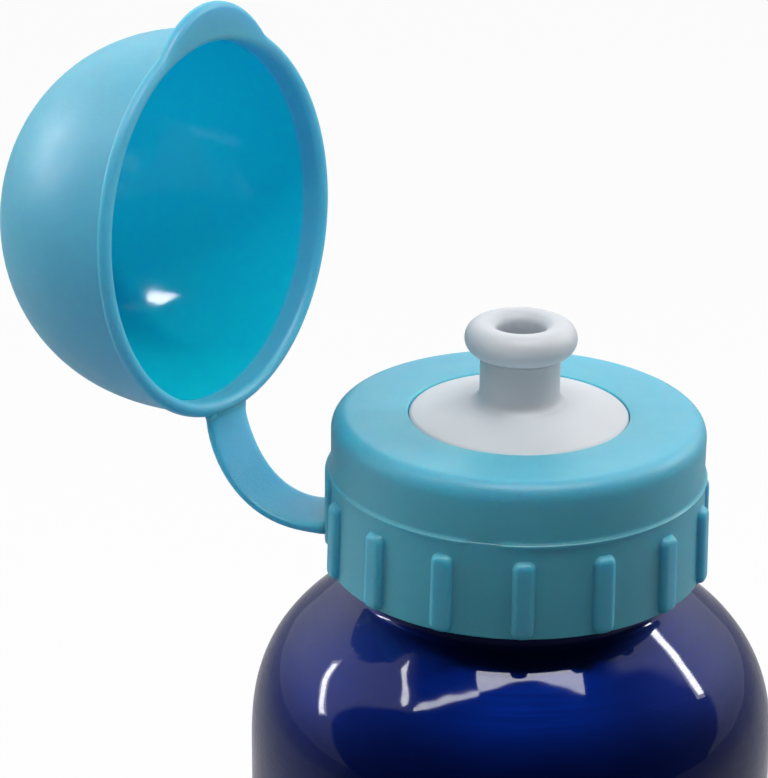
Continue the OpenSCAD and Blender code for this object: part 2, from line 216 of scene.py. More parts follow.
class StageSettings(bpy.types.PropertyGroup):
    """Camera and lamps."""
    eye_distance: length("Eye distance", "Distance of the camera from the cap's top", 333)
    eye_height: angle("Eye elevation", "Elevation of the camera", 22.025)
    eye_turn: angle("Eye turn", "Turn of the camera round the bottle", 3.2)
    aim_side: angle("Aim to the side", "Turn of the view to the side", -2.848)
    aim_down: angle("Aim down", "Turn of the view downwards", -0.390)
    roll: angle("Roll", "Roll of the camera", 1.679)
    focal: share("Focal length", "Focal length in millimetres on a 36 mm sensor", 126.014)
    top_light: share("Top light", "Brightness of the overhead softbox", 11)
    strip_light: share("Strip lights", "Brightness of the narrow lamps", 24)
    fill_light: share("Fill lights", "Light that the two focused lamps add in front", 0.9)
    walls: share("Walls", "Brightness of the pale walls beside and behind the bottle", 1.6)
    gloom: share("Gloom", "Brightness of the room in front and of the ceiling", 0.02)


GROUPS = {"bottle": BottleSizes, "cap": CapSizes, "spout": SpoutSizes, "dome": DomeSizes,
          "finish": Finishes, "stage": StageSettings}


def group(name):
    """The property group of that name on the scene."""
    return getattr(bpy.context.scene, "spout_bottle_" + name)


def levels(node):
    """The lowest and the highest height of a CAD node."""
    return [corner[2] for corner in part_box(node)]


# ---- surfaces

def join(*paths):
    """Paths of (radius, height) points laid end to end."""
    return np.concatenate([np.atleast_2d(np.asarray(path, float)) for path in paths])


def arc(centre, r, start, end, steps=10):
    """Points of a circular arc about a centre, from one angle to another, in degrees."""
    a = np.radians(np.linspace(start, end, steps + 1))
    return np.stack([centre[0] + r * np.cos(a), centre[1] + r * np.sin(a)], 1)


def softened(path, r, steps=5):
    """The path with each corner cut back by r, or by 0.45 of its shorter side, and replaced by
    a parabola: (1-t)^2 start + 2t(1-t) corner + t^2 end."""
    path = np.asarray(path, float)
    before = path[:-2] - path[1:-1]
    after = path[2:] - path[1:-1]
    size_before = np.linalg.norm(before, axis=1, keepdims=True)
    size_after = np.linalg.norm(after, axis=1, keepdims=True)
    cut = np.minimum(np.minimum(size_before, size_after) * 0.45, r)
    start = path[1:-1] + before / size_before * cut
    end = path[1:-1] + after / size_after * cut
    t = np.linspace(0, 1, steps + 1)[None, :, None]
    start, corner, end = start[:, None], path[1:-1, None], end[:, None]
    curve = (1 - t) ** 2 * start + 2 * t * (1 - t) * corner + t ** 2 * end
    return join(path[:1], curve.reshape(-1, 2), path[-1:])


def dense(path, step):
    """The path with points added so that no side is longer than step."""
    path = np.asarray(path, float)
    sides = np.linalg.norm(np.diff(path, axis=0), axis=1)
    run = np.concatenate([[0], np.cumsum(sides)])
    counts = np.maximum(np.ceil(sides / step).astype(int), 1)
    stops = np.concatenate([np.arange(n) / n * side + begin
                            for n, side, begin in zip(counts, sides, run[:-1])] + [run[-1:]])
    return np.stack([np.interp(stops, run, path[:, 0]), np.interp(stops, run, path[:, 1])], 1)


def unit(v):
    """Vectors made one long: v / |v|."""
    return v / np.linalg.norm(v, axis=-1, keepdims=True)


def moved_inward(path, d):
    """The path moved sideways by d, to the left of its direction."""
    along = unit(np.gradient(path, axis=0))
    return path + d * np.stack([-along[:, 1], along[:, 0]], 1)


def turned(v, axis, a):
    """Rodrigues' rotation of vectors v by the angle a about a unit axis."""
    along = (v @ axis)[..., None] * axis
    return v * np.cos(a) + np.cross(axis, v) * np.sin(a) + along * (1 - np.cos(a))


def lathe_grid(path, angles, out=None):
    """Each (radius, height) of the path carried round the axis: (r cos a, r sin a, z), with
    the radius made larger by out, a table of rows by angles."""
    r = path[:, :1] + (0 if out is None else out)
    z = np.broadcast_to(path[:, 1:], r.shape if r.shape[1] > 1 else (len(path), len(angles)))
    return np.stack([r * np.cos(angles), r * np.sin(angles), z], 2)


def even_angles(count):
    """Angles at even steps round the axis."""
    return np.arange(count) * TAU / count


def apart(angles, nearest):
    """The angles in order round the axis, without those that lie nearest or less past another."""
    every = np.sort(np.mod(angles, TAU))
    return every[np.concatenate([[True], np.diff(every) > nearest])]


def mesh_piece(name, grid, close_rows=False, close_columns=True, sharp=40, marks=None):
    """A smooth mesh from a grid of points, with quads between neighbouring rows and columns.
    Points that fall together, at a pole or a seam, are merged. marks are numbers by name, one
    for each point of the grid, that the materials read."""
    rows, columns = grid.shape[:2]
    index = np.arange(rows * columns).reshape(rows, columns)
    if close_rows:
        index = np.concatenate([index, index[:1]])
    if close_columns:
        index = np.concatenate([index, index[:, :1]], 1)
    quads = np.stack([index[:-1, :-1], index[:-1, 1:], index[1:, 1:], index[1:, :-1]], 2)
    mesh = bpy.data.meshes.new(name)
    mesh.from_pydata(grid.reshape(-1, 3), [], quads.reshape(-1, 4))
    for key, values in (marks or {}).items():
        layer = mesh.attributes.new(key, "FLOAT", "POINT")
        values = np.broadcast_to(values, (rows, columns)).astype(np.float32)
        layer.data.foreach_set("value", values.ravel())
    piece = bpy.data.objects.new(name, mesh)
    bpy.context.scene.collection.objects.link(piece)
    cleaned(mesh, sharp)
    return piece


def ring_piece(name, outline, count):
    """A piece turned from a closed outline of (radius, height) points, in count steps."""
    return mesh_piece(name, lathe_grid(outline, even_angles(count)), close_rows=True)


def cleaned(mesh, sharp):
    """Merges points that fall together, turns the faces outwards and shades them smooth."""
    work = bmesh.new()
    work.from_mesh(mesh)
    bmesh.ops.remove_doubles(work, verts=work.verts, dist=2e-7)
    bmesh.ops.recalc_face_normals(work, faces=work.faces)
    work.to_mesh(mesh)
    work.free()
    mesh.polygons.foreach_set("use_smooth", np.ones(len(mesh.polygons), bool))
    mesh.set_sharp_from_angle(angle=math.radians(sharp))
    mesh.update()


def finished(piece, body, slot, material, *nodes):
    """Gives the piece its material and its body and hides the CAD nodes it stands for. The slot is
    not used.
    """
    piece.data.materials.append(material)
    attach(piece, body)
    if nodes:
        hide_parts(*nodes)


def merged(name, *pieces):
    """One object made of several."""
    first = pieces[0]
    with bpy.context.temp_override(active_object=first, object=first, selected_objects=list(pieces),
                                   selected_editable_objects=list(pieces)):
        bpy.ops.object.join()
    first.name = first.data.name = name
    return first


def bump_profile(x):
    """Quarter circle from 0 at x = 0 to 1 at x = 1: sqrt(1 - (1 - x)^2)."""
    return np.sqrt(1 - (1 - np.clip(x, 0, 1)) ** 2)


def soft_power(v, power):
    """sign(v) |v|^power: with a power below 1 it squares off the circle that v is taken from."""
    return np.sign(v) * np.abs(v) ** power


def inside_box(x, y, half_x, half_y, corner):
    """Distance inside the outline of a box with round corners, negative outside it."""
    qx = np.abs(x) - half_x + corner
    qy = np.abs(y) - half_y + corner
    outside = np.hypot(np.maximum(qx, 0), np.maximum(qy, 0))
    return corner - outside - np.minimum(np.maximum(qx, qy), 0)


def thread_grid(r, out, drop, width):
    """A helical ridge: at turn t its foot lies at radius r and height low + pitch t, and its crest
    stands out by out, times sqrt(8 d) where d, the way to the nearer end, is under 1/8 turn. Its
    foot is width wide and narrows there too, to 0.4 of that. Its upper end is drop under the
    mouth."""
    s = group("bottle")
    turns = s.thread_turns
    low = levels("bottle_shell")[1] - drop - turns * PITCH
    t = np.linspace(0, turns, 200)[:, None]
    ends = np.clip(np.minimum(t, turns - t) * 8, 0, 1) ** 0.5
    across = np.array([-0.5, -0.5, -0.32, -0.2, 0.2, 0.32, 0.5, 0.5])[None]
    rise = np.array([-0.35, 0, 0.75, 1, 1, 0.75, 0, -0.35])[None]
    radius = r + out * np.where(rise > 0, rise * ends, rise)
    a = s.thread_start + t * TAU
    z = low + PITCH * t + width * across * (0.4 + 0.6 * ends)
    return np.stack([radius * np.cos(a), radius * np.sin(a), np.broadcast_to(z, radius.shape)], 2)


def capped(grid):
    """The grid with its first and last rows drawn in to their middles, so that the ends close."""
    first, last = (np.broadcast_to(row.mean(1, keepdims=True), row.shape)
                   for row in (grid[:1], grid[-1:]))
    return np.concatenate([first, grid, last])


# ---- materials

def arithmetic(operation, swapped=False):
    """A method that adds a Math node of that operation."""
    def method(self, other):
        return self.net.calculated(operation, *((other, self) if swapped else (self, other)))
    return method


class Value:
    """A shader socket on which plain arithmetic adds Math nodes."""
    __add__, __radd__ = arithmetic("ADD"), arithmetic("ADD", True)
    __sub__, __rsub__ = arithmetic("SUBTRACT"), arithmetic("SUBTRACT", True)
    __mul__, __rmul__ = arithmetic("MULTIPLY"), arithmetic("MULTIPLY", True)

    def __init__(self, net, socket):
        self.net = net
        self.socket = socket


class Net:
    """The node tree of one material or of the world."""

    def __init__(self, owner):
        owner.use_nodes = True
        self.owner = owner
        self.tree = owner.node_tree
        self.tree.nodes.clear()

    def add(self, kind, values=None, out=0, **settings):
        """Adds a node, sets its settings first and then the values or links of its sockets, and
        gives the socket named out."""
        node = self.tree.nodes.new("ShaderNode" + kind)
        for key, setting in settings.items():
            setattr(node, key, setting)
        for key, value in (values or {}).items():
            if isinstance(value, Value):
                self.tree.links.new(value.socket, node.inputs[key])
            else:
                node.inputs[key].default_value = value
        return Value(self, node.outputs[out]) if node.outputs else node

    def calculated(self, operation, *values):
        """What a Math node makes of the values."""
        return self.add("Math", dict(enumerate(values)), operation=operation)

    def ray(self, kind):
        """1 for rays of that kind, 0 for others."""
        return self.add("LightPath", out=f"Is {kind} Ray")

    def place(self, scale=(1, 1, 1)):
        """Object coordinates, stretched by scale."""
        return self.add("Mapping", {"Vector": self.add("TexCoord", out="Object"), "Scale": scale})

    def noise(self, where, scale, detail=2, roughness=0.5):
        """Noise between 0 and 1."""
        return self.add("TexNoise", {"Vector": where, "Scale": scale, "Detail": detail,
                                     "Roughness": roughness})

    def ranged(self, value, low, high, to_low=0, to_high=1):
        """The value carried smoothly from one range to another."""
        ends = {"From Min": low, "From Max": high, "To Min": to_low, "To Max": to_high}
        return self.add("MapRange", {"Value": value, **ends}, interpolation_type="SMOOTHSTEP")

    def mix(self, factor, first, second):
        """A colour between two colours."""
        return self.add("Mix", {0: factor, 6: first, 7: second}, out=2, data_type="RGBA")

    def mark(self, name):
        """The number that the piece's mesh carries under that name, or 0."""
        return self.add("Attribute", out="Fac", attribute_name=name)

    def axes(self, where, names):
        """The named coordinates of a place or a direction."""
        return [self.add("SeparateXYZ", {0: where}, out=axis) for axis in names]

    def bump(self, height, distance, strength=1):
        """The normal bent by a height."""
        values = {"Height": height, "Distance": distance, "Strength": strength}
        return self.add("Bump", values, out="Normal")

    def surface(self, **values):
        """Ends the tree in a Principled shader with those values and gives its material."""
        self.add("OutputMaterial", {"Surface": self.add("BsdfPrincipled", values)})
        return self.owner


def tinted(shade, factor):
    """A colour made lighter or darker, with full alpha."""
    return (*[min(part * factor, 1) for part in shade], 1)


def moulded_plastic(name, shade, roughness, grain, glow, depth):
    """Satin moulded plastic: fine spark-eroded grain, slow colour drift and cloudy gloss over a
    faintly see-through body that light enters as deep as depth. Where the piece's mark for
    polished insides is 1 the mould was polished, so the grain goes and the gloss comes, and a
    fuller, brighter colour is painted there: painted light, for the light that comes through the thin
    wall."""
    polished_roughness = 0.11
    red, green, blue = shade
    # Painted light: the insides get a fuller, brighter colour that stands in for light coming through
    # the thin wall.
    painted_light_colour = (red * 0.05, min(green * 1.27, 1), min(blue * 1.14, 1), 1)
    net = Net(bpy.data.materials.new(name))
    where = net.place()
    drift = net.noise(where, 38, 3)
    cloud = net.noise(where, 240, 4, 0.6)
    fine = net.noise(where, 5200, 2, 0.6)
    # This mark gives both the polished mould and the painted light of the insides.
    polished_and_painted_light = net.mark("polished_and_painted_light")
    matt = 1 - polished_and_painted_light
    height = (fine * 0.7 + net.noise(where, 1500, 2) * 0.3) * matt
    body = net.mix(net.ranged(drift, 0.3, 0.7), tinted(shade, 0.95), tinted(shade, 1.05))
    rough = matt * (roughness - polished_roughness) + polished_roughness
    return net.surface(**{"Base Color": net.mix(polished_and_painted_light, body, painted_light_colour),
                          "Roughness": net.ranged(cloud, 0.3, 0.7, -0.04, 0.04) + rough,
                          "Normal": net.bump(height, grain), "IOR": 1.5, "Subsurface Weight": glow,
                          "Subsurface Radius": depth, "Subsurface Scale": MM})


def blue_lacquer():
    """Clear blue lacquer over satin aluminium: a tinted satin metal with fine rings from the lathe
    and faint cross scratches under a glossy coat. The inside and the mouth are bare metal."""
    shades = group("finish")
    net = Net(bpy.data.materials.new("blue_lacquer"))
    rings = net.noise(net.place((60, 60, 3600)), 1, 2, 0.6)
    scuffs = net.noise(net.place((3600, 3600, 160)), 1, 2, 0.6)
    weave = rings * 0.5 + scuffs * 0.5
    drift = net.noise(net.place((1, 1, 0.6)), 60, 2)
    bare = net.mark("bare")
    lacquer = net.mix(net.ranged(drift, 0.25, 0.75),
                      tinted(shades.lacquer, 0.85), tinted(shades.lacquer, 1.15))
    metal = net.mix(bare, lacquer, tinted(shades.bare_metal, 1))
    return net.surface(**{"Base Color": metal, "Metallic": 1,
                          "Roughness": net.ranged(rings, 0.3, 0.7, 0.52, 0.60) - bare * 0.25,
                          "Coat Weight": (1 - bare) * net.ranged(weave, 0.38, 0.62, 0.78, 1.0),
                          "Coat Roughness": 0.045, "Coat IOR": 1.3,
                          "Normal": net.bump(weave, 0.000012, 0.8)})


def clear_silicone():
    """Milky silicone: matte, faintly see-through, with moulding specks."""
    net = Net(bpy.data.materials.new("clear_silicone"))
    specks = net.noise(net.place(), 900, 3)
    shade = group("finish").silicone
    body = net.mix(net.ranged(specks, 0.35, 0.65), tinted(shade, 0.94), tinted(shade, 1))
    return net.surface(**{"Base Color": body, "Roughness": net.ranged(specks, 0.3, 0.7, 0.42, 0.55),
                          "Subsurface Weight": 0.3, "Subsurface Scale": MM,
                          "Normal": net.bump(specks, 0.00003)})


def turquoise():
    """The closure's plastic, made once."""
    return bpy.data.materials.get("turquoise_moulding") or moulded_plastic(
        "turquoise_moulding", group("finish").turquoise, 0.42, 0.000035, 0.9, (0.2, 2.2, 3.4))


def white():
    """The spout's plastic, made once."""
    return bpy.data.materials.get("white_moulding") or moulded_plastic(
        "white_moulding", group("finish").white, 0.46, 0.000018, 0.4, (3, 3, 3))


# ---- pieces

class SPOUTBOTTLE_OT_shell(bpy.types.Operator):
    """Make the lacquered metal shell: heel, wall, shoulder, neck, rolled mouth and inside"""
    bl_idname = "spout_bottle.shell"
    bl_label = "Bottle shell"

    def execute(self, context):
        s = group("bottle")
        body_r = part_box("bottle_shell")[1][0]
        mouth = levels("bottle_shell")[1]
        stand_r = body_r - s.heel_r
        dish_half = stand_r - s.stand_w
        dish_r = (dish_half ** 2 + s.base_rise ** 2) / (2 * s.base_rise)
        dish_turn = math.degrees(math.asin(dish_half / dish_r))
        dish = arc((0, s.base_rise - dish_r), dish_r, 90, 90 - dish_turn, 16)
        heel = arc((stand_r, s.heel_r), s.heel_r, -90, 0, 14)
        shoulder = shoulder_path(s, body_r)
        collar_h, under_bead = 1.2 * MM, s.bead_r * 1.9
        neck = [[s.neck_r, shoulder[-1, 1] + collar_h], [s.neck_r, mouth - under_bead]]
        outside = join(dish, heel, shoulder, neck)
        inside = moved_inward(outside, s.wall)
        rolled_turn = 304
        roll = arc((s.neck_r - s.wall / 2, mouth - s.bead_r), s.bead_r,
                   90 - rolled_turn / 2, 90 + rolled_turn / 2, 26)
        path = join(outside, roll, inside[::-1])
        path[-1, 0] = 0
        # The lacquer ends four rows up the mouth's roll, and its ripple dies away below that.
        lacquered = len(outside) + 4
        grid = lathe_grid(path, even_angles(320))
        coated = np.clip((len(outside) - 1 - np.arange(len(path))) / 3, 0, 1)[:, None]
        grid[:, :, :2] *= 1 + (coated * ripple(grid, s) / np.maximum(path[:, :1], MM))[..., None]
        marks = np.concatenate([np.zeros(lacquered), np.ones(len(path) - lacquered)])
        shell = mesh_piece("bottle_shell_skin", grid, marks={"bare": marks[:, None]})
        finished(shell, "bottle", "lacquered_metal", blue_lacquer(), "bottle_shell")
        return {"FINISHED"}


def ripple(grid, s):
    """Slight unevenness of the lacquer: the mean of sine waves that run in even but unlike
    directions through space, with wave lengths from ripple_size to three times that."""
    steps = np.arange(14)
    golden_angle, golden_share, phase = 2.39996, 0.618, 1.7
    rise, turn = 1 - 2 * (steps + 0.5) / len(steps), steps * golden_angle
    flat = np.sqrt(1 - rise ** 2)
    ways = np.stack([flat * np.cos(turn), flat * np.sin(turn), rise], 1)
    waves = TAU / (s.ripple_size * (1 + 2 * np.mod(steps * golden_share, 1)))
    return s.ripple_height * np.sin(grid @ (ways * waves[:, None]).T + steps * phase).mean(2)


def shoulder_path(s, body_r):
    """The shoulder's (radius, height) points: r = body_r sqrt(1 - t^power) at the height
    start + rise t, as far as shoulder_r; from there a line whose slope runs evenly from the
    curve's own to shoulder_end at the neck, then a small hollow up to the neck, the parabola
    (1-a)^2 foot + 2a(1-a) corner + a^2 tip."""
    hollow_w, hollow_h, corner_out, corner_up = np.array([0.5, 0.8, 0.12, 0.3]) * MM
    t_end = (1 - (s.shoulder_r / body_r) ** 2) ** (1 / s.shoulder_power)
    t = np.linspace(0, t_end, 44)
    curve = np.stack([body_r * np.sqrt(1 - t ** s.shoulder_power),
                      s.shoulder_start + s.shoulder_rise * t], 1)
    slope = math.atan(2 * s.shoulder_rise * math.sqrt(1 - t_end ** s.shoulder_power)
                      / (body_r * s.shoulder_power * t_end ** (s.shoulder_power - 1)))
    r = np.linspace(s.shoulder_r, s.neck_r + hollow_w, 24)
    slopes = np.interp(-r, [-s.shoulder_r, -s.neck_r], [slope, s.shoulder_end])
    rise = np.cumsum(np.tan((slopes[1:] + slopes[:-1]) / 2) * -np.diff(r))
    cone = np.stack([r[1:], curve[-1, 1] + rise], 1)
    a = np.linspace(0, 1, 5)[1:, None]
    foot = cone[-1]
    tip = np.array([s.neck_r, foot[1] + hollow_h])
    corner = np.array([s.neck_r + corner_out, foot[1] + corner_up])
    return join(curve, cone, (1 - a) ** 2 * foot + 2 * a * (1 - a) * corner + a ** 2 * tip)


class SPOUTBOTTLE_OT_neck_thread(bpy.types.Operator):
    """Make the thread rolled into the bottle's neck"""
    bl_idname = "spout_bottle.neck_thread"
    bl_label = "Neck thread"

    def execute(self, context):
        s = group("bottle")
        grid = thread_grid(s.neck_r, s.thread_out, s.thread_drop, s.thread_w)
        thread = mesh_piece("neck_thread", capped(grid), marks={"bare": 1})
        finished(thread, "bottle", "lacquered_metal", bpy.data.materials["blue_lacquer"])
        return {"FINISHED"}


class SPOUTBOTTLE_OT_gasket(bpy.types.Operator):
    """Make the sealing washer"""
    bl_idname = "spout_bottle.gasket"
    bl_label = "Sealing washer"

    def execute(self, context):
        low, high = levels("cap_gasket")
        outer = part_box("cap_gasket")[1][0]
        inner = outer - group("cap").washer_w
        mid = (low + high) / 2
        ring = softened([[inner, mid], [inner, low], [outer, low], [outer, high], [inner, high],
                         [inner, mid]], 0.3 * MM)[:-1]
        washer = ring_piece("sealing_washer", ring, 192)
        finished(washer, "gasket", "seal_rubber", clear_silicone(), "cap_gasket")
        return {"FINISHED"}


def cap_angles(s):
    """Angles round the cap: close together across each rib's and the pad's edges, wide between,
    with nine across the pad and nine across the gap in the fine bead."""
    half = s.rib_w / 2
    edge = np.array([-0.3, -0.1, 0, 0.03, 0.09, 0.18, 0.3, 0.45, 0.62, 0.8]) * MM
    across = np.concatenate([-half + edge, [0], (half - edge)[::-1]]) / s.skirt_r
    step = TAU / s.places
    between = np.linspace(across[-1], step + across[0], 7)[1:-1]
    one = np.concatenate([across, between])
    ribs = (np.arange(s.places)[:, None] * step + one[None]).ravel() + np.pi
    pad = np.pi + np.concatenate([s.pad_w / 2 - edge, -s.pad_w / 2 + edge,
                                  np.linspace(-0.5, 0.5, 9) * s.pad_w * 0.8]) / s.skirt_r
    gap = s.gap_angle + np.linspace(-0.7, 0.7, 9) * s.bead_gap / s.skirt_r
    return apart(np.concatenate([ribs, pad, gap]), 2e-4)


def cap_out(s, r, z, a, low, top):
    """How far the cap's outside stands out past its turned profile of radius r. A rib is rib_out
    times a quarter circle of the distance inside its outline, plus a foot that falls off
    exponentially outside it. Place 0 has the pad, a wider cylinder with the same soft edge, in
    a rib's stead. The fine bead is a bell curve of height, with a gap."""
    step = TAU / s.places
    place = np.mod(a - np.pi + step / 2, TAU)
    which = np.floor(place / step)
    side = (place - (which + 0.5) * step) * s.skirt_r
    rib_middle = low + s.rib_up + s.rib_len / 2
    inside = inside_box(side, z - rib_middle, s.rib_w / 2, s.rib_len / 2, s.rib_corner)
    foot_reach, pad_corner, pad_soft = 0.14 * MM, 2 * MM, 0.45 * MM
    gap_soft, bead_half = 0.8 * MM, 0.26 * MM
    foot = s.rib_foot * np.exp(np.minimum(inside, 0) / foot_reach)
    ribs = np.where(which > 0, s.rib_out * bump_profile(inside / s.rib_soft) + foot, 0)
    away = np.mod(a, TAU) - np.pi
    pad_middle = top - s.bead_drop - s.pad_h / 2
    pad_in = inside_box(away * s.skirt_r, z - pad_middle, s.pad_w / 2, s.pad_h / 2, pad_corner)
    pad = np.maximum(s.skirt_r + s.pad_out - r, 0) * bump_profile(pad_in / pad_soft)
    gap = np.abs(np.angle(np.exp(1j * (a - s.gap_angle)))) * s.skirt_r
    open_way = np.clip((gap - s.bead_gap / 2) / gap_soft + 0.5, 0, 1)
    bead = s.bead_out * np.exp(-((z - top + s.bead_drop) / bead_half) ** 2) * open_way
    return np.maximum(np.maximum(ribs, pad), bead)


class SPOUTBOTTLE_OT_cap(bpy.types.Operator):
    """Make the screw cap with its grip ribs, fine bead and strap pad"""
    bl_idname = "spout_bottle.cap"
    bl_label = "Screw cap"

    def execute(self, context):
        s, spout = group("cap"), group("spout")
        low, top = levels("screw_cap")
        plate = top - s.plate
        bead = top - s.bead_drop
        # The rows lie evenly between these heights over the skirt's edge, in these numbers.
        stops = np.array([0.3, 1.5, 4.3, 8.6, 10.25, 11.3, 12.7]) * MM + low
        counts = [12, 14, 6, 20, 6, 20, 8]
        ends = np.append(stops[1:], top - s.edge_r)
        skirt = np.concatenate([np.linspace(a, b, n, endpoint=False)
                                for a, b, n in zip(stops, ends, counts)])
        lean = s.flare * np.clip((bead - skirt) / (bead - low), 0, 1)
        wall = np.where(skirt < bead, s.skirt_r + lean, s.wall_r)
        edge = arc((s.wall_r - s.edge_r, top - s.edge_r), s.edge_r, 0, 90, 14)
        skirt_low, bore_low = s.skirt_r + s.flare, s.bore_r + s.chamfer
        rim = softened([[bore_low, low], [skirt_low - s.chamfer, low], [skirt_low, low + s.chamfer],
                        [wall[0], skirt[0]]], 0.15 * MM, 3)[1:-1]
        seat_r, boss_r = spout.flange_r + spout.flange_gap, spout.boss_r + spout.flange_gap
        seat, groove = top - spout.flange_t, plate - s.groove_t
        recess = softened([[s.wall_r - s.edge_r - 2 * MM, top], [seat_r, top], [seat_r, seat],
                           [boss_r, seat], [boss_r, plate], [s.groove_in, plate],
                           [s.groove_in, groove], [s.groove_out, groove], [s.groove_out, plate],
                           [s.bore_r, plate], [s.bore_r, low + s.chamfer], [bore_low, low]],
                          0.22 * MM, 3)
        outer = join(rim, np.stack([wall, skirt], 1), edge)
        path = join(outer, dense(recess, 2.5 * MM)[:-1])
        angles = cap_angles(s)
        side = outer[:-len(edge)]
        out = np.zeros((len(path), len(angles)))
        out[:len(side)] = cap_out(s, side[:, :1], side[:, 1:], angles[None], low, top)
        near = 0.05 * MM
        # The inside is marked polished, and there the material paints a fuller, brighter colour:
        # painted light.
        inner = (path[:, :1] < s.bore_r + near) & (path[:, 1:] < plate + near)
        cap = mesh_piece("screw_cap_skin", lathe_grid(path, angles, out), close_rows=True, sharp=50,
                         marks={"polished_and_painted_light": inner})
        finished(cap, "closure", "turquoise_plastic", turquoise(), "screw_cap")
        return {"FINISHED"}


class SPOUTBOTTLE_OT_cap_thread(bpy.types.Operator):
    """Make the thread inside the cap, half a pitch from the neck's"""
    bl_idname = "spout_bottle.cap_thread"
    bl_label = "Cap thread"

    def execute(self, context):
        s = group("cap")
        drop = group("bottle").thread_drop + PITCH / 2
        grid = thread_grid(s.bore_r, -s.thread_in, drop, s.thread_w)
        # Marked polished, so the material paints the fuller, brighter inside colour on it: painted
        # light.
        thread = mesh_piece("cap_thread", capped(grid), marks={"polished_and_painted_light": 1})
        finished(thread, "closure", "turquoise_plastic", turquoise())
        return {"FINISHED"}


class SPOUTBOTTLE_OT_spout_base(bpy.types.Operator):
    """Make the white spout base: snap-in flange, shallow cone, fixed sleeve, spokes and plug post"""
    bl_idname = "spout_bottle.spout_base"
    bl_label = "Spout base"

    def execute(self, context):
        s = group("spout")
        top = levels("screw_cap")[1]
        low = levels("spout_base")[0]
        tube_low = levels("push_spout")[0]
        plate = top - group("cap").plate
        flange = top - s.flange_t
        bore = s.sleeve_r - s.sleeve_wall
        guide = s.tube_r + s.running
        crest = top + s.sleeve_h
        foot = flange - 0.4 * MM
        bevel = 0.3 * MM
        edge_r = s.flange_r - bevel
        slope = math.atan(s.cone_rise / (edge_r - s.sleeve_r - s.root_fillet))
        cone_in = s.sleeve_r + s.root_fillet * (1 - math.sin(slope))
        fillet_z = top + (edge_r - cone_in) * math.tan(slope) + s.root_fillet * math.cos(slope)
        crest_r = s.sleeve_r - s.crest_r
        inside = softened([[bore, foot + 2 * MM], [bore, crest - s.guide_h],
                           [guide, crest - s.guide_h], [guide, crest], [crest_r, crest]],
                          0.15 * MM, 4)
        sleeve = arc((crest_r, crest - s.crest_r), s.crest_r, 90, 0, 8)
        fillet = arc((s.sleeve_r + s.root_fillet, fillet_z), s.root_fillet,
                     180, 270 - math.degrees(slope), 12)
        snap, boss_in = s.boss_r + bevel, s.boss_r - s.boss_wall
        under = softened([[edge_r - MM, top + MM * math.tan(slope)], [edge_r, top],
                          [s.flange_r, top - bevel], [s.flange_r, flange], [s.boss_r, flange],
                          [s.boss_r, plate], [snap, plate], [snap + bevel, plate - 0.7 * MM],
                          [s.boss_r, low], [boss_in, low], [boss_in, plate],
                          [bore + s.boss_wall, foot], [bore, foot], [bore, foot + 2 * MM]],
                         0.2 * MM, 4)
        ring = dense(join(inside, sleeve, fillet, under)[:-1], 1.5 * MM)
        base = ring_piece("base_ring", ring, 192)
        tip_r = s.hole_r - s.running
        tip = tube_low + s.plug_h
        shelf = tube_low - bevel
        post = softened([[0, foot], [s.post_r, foot], [s.post_r, shelf], [tip_r, tube_low],
                         [tip_r, tip], [0, tip]], bevel, 4)
        plug = mesh_piece("base_post", lathe_grid(post, even_angles(64)))
        spokes = [spoke_piece(TAU * i / 3, bore + bevel, foot, shelf) for i in range(3)]
        base = merged("spout_base_skin", base, plug, *spokes)
        finished(base, "closure", "white_plastic", white(), "spout_base")
        return {"FINISHED"}


def spoke_piece(a, reach, low, high):
    """A flat bar from the axis to the sleeve: a soft square outline carried along the radius."""
    out = np.linspace(0, reach, 6)[:, None]
    turn = even_angles(16)[None] + 0.2
    squareness = 0.35
    across = group("spout").spoke_t / 2 * soft_power(np.cos(turn), squareness)
    up = (high - low) / 2 * soft_power(np.sin(turn), squareness)
    grid = np.stack([out * np.cos(a) - across * np.sin(a), out * np.sin(a) + across * np.cos(a),
                     (low + high) / 2 + up + 0 * out], 2)
    return mesh_piece("spoke", capped(grid))


class SPOUTBOTTLE_OT_spout(bpy.types.Operator):
    """Make the push-pull spout: tube with its stop bead, collar, throat and mushroom head"""
    bl_idname = "spout_bottle.spout"
    bl_label = "Push-pull spout"

    def execute(self, context):
        s = group("spout")
        low, high = levels("push_spout")
        crest = levels("screw_cap")[1] + s.sleeve_h
        stop_r = s.sleeve_r - s.sleeve_wall - s.running
        round_r = s.head_t / 2
        collar_in, throat_r, bead_h, lip_w, lip_h = np.array([0.25, 0.35, 1, 0.9, 0.8]) * MM
        collar_r = s.sleeve_r - collar_in
        collar_low = crest + s.collar_gap
        tube = softened([[s.hole_r, low + 2 * MM], [s.hole_r, low], [s.tube_r, low],
                         [stop_r, low + 0.3 * MM], [stop_r, low + bead_h], [s.tube_r, low + bead_h],
                         [s.tube_r, collar_low], [collar_r, collar_low],
                         [collar_r, collar_low + 0.1 * MM]], 0.12 * MM, 4)[:-1]
        throat = arc((collar_r + throat_r, collar_low + s.collar_gap), throat_r, 180, 120, 6)
        head = arc((s.head_r - round_r, high - round_r), round_r, -60, 90, 30)
        mouth = softened([[s.head_r - round_r, high], [s.hole_r + lip_w, high - 0.1 * MM],
                          [s.hole_r, high - lip_h], [s.hole_r, low + 2 * MM]], 0.5 * MM, 6)[1:-1]
        path = join(tube, throat, head, dense(mouth, 1.5 * MM))
        spout = ring_piece("push_spout_skin", path, 160)
        finished(spout, "spout", "white_plastic", white(), "push_spout")
        return {"FINISHED"}


def dome_opened(points):
    """Points of the closed dome turned about the strap's bending axis to the open place."""
    at, axis = np.array(HINGE["pos_m"], float), unit(np.array(HINGE["axis"], float))
    return at + turned(points - at, axis, -math.radians(HINGE["range_deg"][1]))


